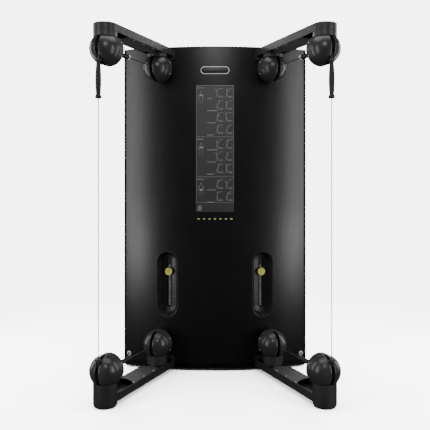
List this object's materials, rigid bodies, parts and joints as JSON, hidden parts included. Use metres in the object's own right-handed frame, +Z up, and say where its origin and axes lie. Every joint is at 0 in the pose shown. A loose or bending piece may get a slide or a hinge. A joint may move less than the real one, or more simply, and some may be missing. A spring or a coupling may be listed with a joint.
{
  "type": "functional trainer",
  "caption": "Free-standing cable functional trainer: curved cabinet with splayed upper and lower arms, swivelling pulley balls, sliding grips on taut cables and pin-selected weight stacks.",
  "frame": {"origin": "on the floor, at the middle of the footprint", "axes": "+Z up, +Y from the user to the machine's rear, +X to the right of a user who faces the machine"},
  "size_m": [1.476, 1.11, 2.26],
  "materials": {
    "panel_black": "satin",
    "trim_black": "matte",
    "cover_black": "fine texture powder coat",
    "frame_steel": "powder coat",
    "foot_rubber": "matte",
    "placard": "satin printed film",
    "badge": "gloss",
    "bright_steel": "satin",
    "rod_chrome": "polished",
    "plate_steel": "black paint",
    "tray_black": "fine grain",
    "rail_steel": "black oxide",
    "carriage_black": "satin",
    "knob_green": "satin",
    "arm_black": "satin powder coat",
    "arm_cover_grey": "fine grain",
    "housing_black": "satin",
    "ball_black": "satin",
    "guide_black": "matte",
    "sheave_black": "satin",
    "cable_steel": "wire rope under clear sheath",
    "grip_rubber": "matte"
  },
  "bodies": {
    "root": {"front_panel": "panel_black", "panel_edge_trims": "trim_black", "kick_strips": "trim_black", "side_covers": "cover_black", "rear_covers": "cover_black", "top_cover": "cover_black", "base_frame": "frame_steel", "cabinet_frame": "frame_steel", "foot_pads": "foot_rubber", "exercise_placard": "placard", "badge_plate": "badge", "panel_corner_bolts": "bright_steel", "guide_rods": "rod_chrome", "stack_buffers": "foot_rubber", "resting_plates": "plate_steel", "selector_rails": "rail_steel", "selector_bushes": "bright_steel", "recess_tray_left": "tray_black", "recess_tray_right": "tray_black", "arm_covers": "arm_cover_grey", "arm_root_flanges": "housing_black", "upper_arm_left": "arm_black", "upper_arm_right": "arm_black", "lower_arm_left": "arm_black", "lower_arm_right": "arm_black", "outer_cradles": "housing_black", "inner_cradles": "housing_black", "outer_rings": "housing_black", "inner_rings": "housing_black", "inner_balls": "ball_black", "arm_cables": "cable_steel", "button_screws": "bright_steel"},
    "stack_left": {"lifted_plates_left": "plate_steel"},
    "carriage_left": {"selector_carriage_left": "carriage_black"},
    "knob_left": {"selector_knob_left": "knob_green"},
    "lower_ball_left": {"ball_shell_lower_left": "ball_black", "cable_guide_lower_left": "guide_black", "training_cable_left": "cable_steel"},
    "upper_ball_left": {"ball_shell_upper_left": "ball_black", "cable_guide_upper_left": "guide_black", "cable_bend_left": "cable_steel"},
    "handle_left": {"handle_left": "grip_rubber"},
    "outer_sheave_upper_left": {"outer_sheave_upper_left": "sheave_black"},
    "inner_sheave_upper_left": {"inner_sheave_upper_left": "sheave_black"},
    "outer_sheave_lower_left": {"outer_sheave_lower_left": "sheave_black"},
    "inner_sheave_lower_left": {"inner_sheave_lower_left": "sheave_black"},
    "stack_right": {"lifted_plates_right": "plate_steel"},
    "carriage_right": {"selector_carriage_right": "carriage_black"},
    "knob_right": {"selector_knob_right": "knob_green"},
    "lower_ball_right": {"ball_shell_lower_right": "ball_black", "cable_guide_lower_right": "guide_black", "training_cable_right": "cable_steel"},
    "upper_ball_right": {"ball_shell_upper_right": "ball_black", "cable_guide_upper_right": "guide_black", "cable_bend_right": "cable_steel"},
    "handle_right": {"handle_right": "grip_rubber"},
    "outer_sheave_upper_right": {"outer_sheave_upper_right": "sheave_black"},
    "inner_sheave_upper_right": {"inner_sheave_upper_right": "sheave_black"},
    "outer_sheave_lower_right": {"outer_sheave_lower_right": "sheave_black"},
    "inner_sheave_lower_right": {"inner_sheave_lower_right": "sheave_black"}
  },
  "joints": [
    {"name": "stack_lift_left", "type": "slide", "parent": "root", "child": "stack_left", "axis": [0, 0, 1], "range_m": [0, 0.74]},
    {"name": "selector_slide_left", "type": "slide", "parent": "root", "child": "carriage_left", "axis": [0, 0, 1], "range_m": [-0.234, 0.036]},
    {"name": "knob_pull_left", "type": "slide", "parent": "carriage_left", "child": "knob_left", "axis": [-0.1825, -0.9832, 0], "range_m": [0, 0.012], "stiffness_N_per_m": 600, "springref_m": -0.01},
    {"name": "lower_swivel_left", "type": "hinge", "parent": "root", "child": "lower_ball_left", "pos_m": [-0.644, -0.461, 0.208], "axis": [0.3907, 0.9205, 0], "range_deg": [-1.4, 1.4]},
    {"name": "upper_swivel_left", "type": "hinge", "parent": "root", "child": "upper_ball_left", "pos_m": [-0.644, -0.461, 2.095], "axis": [0.3907, 0.9205, 0], "range_deg": [-30, 30]},
    {"name": "handle_slide_left", "type": "slide", "parent": "lower_ball_left", "child": "handle_left", "axis": [0, 0, 1], "range_m": [-1.48, 0]},
    {"name": "outer_sheave_upper_spin_left", "type": "hinge", "parent": "upper_ball_left", "child": "outer_sheave_upper_left", "pos_m": [-0.65807, -0.49414, 2.059], "axis": [-0.9205, 0.3907, 0], "continuous": true},
    {"name": "inner_sheave_upper_spin_left", "type": "hinge", "parent": "root", "child": "inner_sheave_upper_left", "pos_m": [-0.39549, 0.12444, 2.059], "axis": [-0.9205, 0.3907, 0], "continuous": true},
    {"name": "outer_sheave_lower_spin_left", "type": "hinge", "parent": "lower_ball_left", "child": "outer_sheave_lower_left", "pos_m": [-0.65807, -0.49414, 0.244], "axis": [-0.9205, 0.3907, 0], "continuous": true},
    {"name": "inner_sheave_lower_spin_left", "type": "hinge", "parent": "root", "child": "inner_sheave_lower_left", "pos_m": [-0.39549, 0.12444, 0.244], "axis": [-0.9205, 0.3907, 0], "continuous": true},
    {"name": "stack_lift_right", "type": "slide", "parent": "root", "child": "stack_right", "axis": [0, 0, 1], "range_m": [0, 0.74]},
    {"name": "selector_slide_right", "type": "slide", "parent": "root", "child": "carriage_right", "axis": [0, 0, 1], "range_m": [-0.234, 0.036]},
    {"name": "knob_pull_right", "type": "slide", "parent": "carriage_right", "child": "knob_right", "axis": [0.1825, -0.9832, 0], "range_m": [0, 0.012], "stiffness_N_per_m": 600, "springref_m": -0.01},
    {"name": "lower_swivel_right", "type": "hinge", "parent": "root", "child": "lower_ball_right", "pos_m": [0.644, -0.461, 0.208], "axis": [-0.3907, 0.9205, 0], "range_deg": [-1.4, 1.4]},
    {"name": "upper_swivel_right", "type": "hinge", "parent": "root", "child": "upper_ball_right", "pos_m": [0.644, -0.461, 2.095], "axis": [-0.3907, 0.9205, 0], "range_deg": [-30, 30]},
    {"name": "handle_slide_right", "type": "slide", "parent": "lower_ball_right", "child": "handle_right", "axis": [0, 0, 1], "range_m": [-1.48, 0]},
    {"name": "outer_sheave_upper_spin_right", "type": "hinge", "parent": "upper_ball_right", "child": "outer_sheave_upper_right", "pos_m": [0.65807, -0.49414, 2.059], "axis": [-0.9205, -0.3907, 0], "continuous": true},
    {"name": "inner_sheave_upper_spin_right", "type": "hinge", "parent": "root", "child": "inner_sheave_upper_right", "pos_m": [0.39549, 0.12444, 2.059], "axis": [-0.9205, -0.3907, 0], "continuous": true},
    {"name": "outer_sheave_lower_spin_right", "type": "hinge", "parent": "lower_ball_right", "child": "outer_sheave_lower_right", "pos_m": [0.65807, -0.49414, 0.244], "axis": [-0.9205, -0.3907, 0], "continuous": true},
    {"name": "inner_sheave_lower_spin_right", "type": "hinge", "parent": "root", "child": "inner_sheave_lower_right", "pos_m": [0.39549, 0.12444, 0.244], "axis": [-0.9205, -0.3907, 0], "continuous": true}
  ],
  "couplings": [
    {"joint": "upper_swivel_left", "follows": "lower_swivel_left", "ratio": -21.4},
    {"joint": "handle_slide_left", "follows": "stack_lift_left", "ratio": -2},
    {"joint": "outer_sheave_upper_spin_left", "follows": "stack_lift_left", "rad_per_m": -55.556},
    {"joint": "inner_sheave_upper_spin_left", "follows": "stack_lift_left", "rad_per_m": -55.556},
    {"joint": "outer_sheave_lower_spin_left", "follows": "stack_lift_left", "rad_per_m": -55.556},
    {"joint": "inner_sheave_lower_spin_left", "follows": "stack_lift_left", "rad_per_m": -55.556},
    {"joint": "upper_swivel_right", "follows": "lower_swivel_right", "ratio": -21.4},
    {"joint": "handle_slide_right", "follows": "stack_lift_right", "ratio": -2},
    {"joint": "outer_sheave_upper_spin_right", "follows": "stack_lift_right", "rad_per_m": -55.556},
    {"joint": "inner_sheave_upper_spin_right", "follows": "stack_lift_right", "rad_per_m": -55.556},
    {"joint": "outer_sheave_lower_spin_right", "follows": "stack_lift_right", "rad_per_m": -55.556},
    {"joint": "inner_sheave_lower_spin_right", "follows": "stack_lift_right", "rad_per_m": -55.556}
  ]
}
